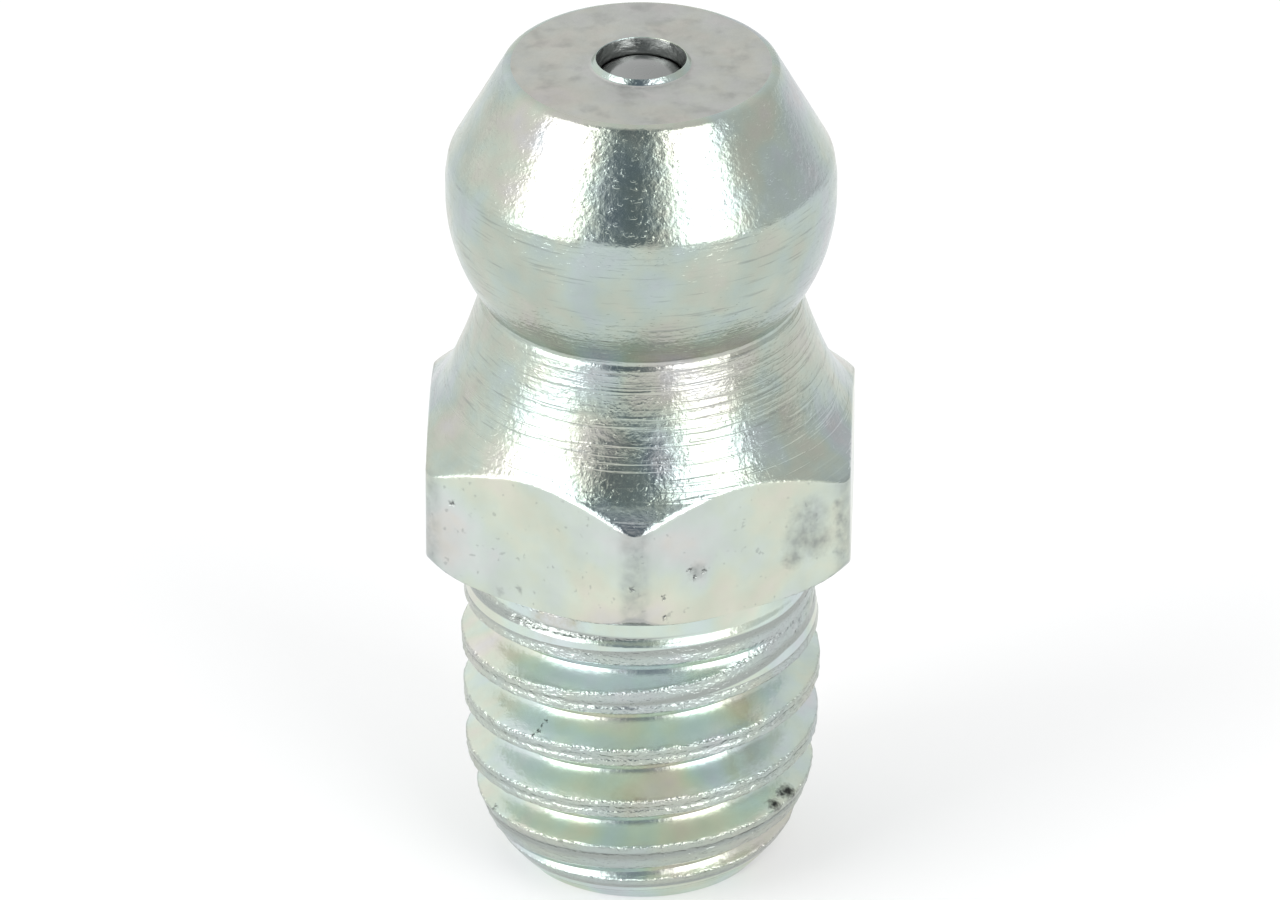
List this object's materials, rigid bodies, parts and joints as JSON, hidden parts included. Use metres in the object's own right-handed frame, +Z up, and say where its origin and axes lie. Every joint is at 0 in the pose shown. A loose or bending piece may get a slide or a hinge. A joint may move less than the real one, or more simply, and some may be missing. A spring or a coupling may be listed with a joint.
{
  "type": "grease nipple",
  "caption": "Straight hydraulic grease nipple: cone head with a spring-loaded ball valve, waisted neck, hexagon collar and short tapered thread, zinc plated.",
  "frame": {"origin": "centre of the thread's end face, on the nipple's axis", "axes": "+Z up the nipple's axis towards the head; -Y is the side that a hexagon corner faces"},
  "size_m": [0.007, 0.008, 0.0147],
  "materials": {
    "zinc_plate": "bright zinc plate with a faint iridescent clear passivation",
    "ball_steel": "plated bearing ball, dulled",
    "spring_steel": "drawn spring wire"
  },
  "bodies": {
    "body": {"nipple_body": "zinc_plate", "valve_spring": "spring_steel"},
    "ball": {"check_ball": "ball_steel"}
  },
  "joints": [
    {"name": "ball_lift", "type": "slide", "parent": "body", "child": "ball", "axis": [0, 0, -1], "range_m": [0, 0.0008], "stiffness_N_per_m": 300, "deforming": ["valve_spring"]}
  ]
}
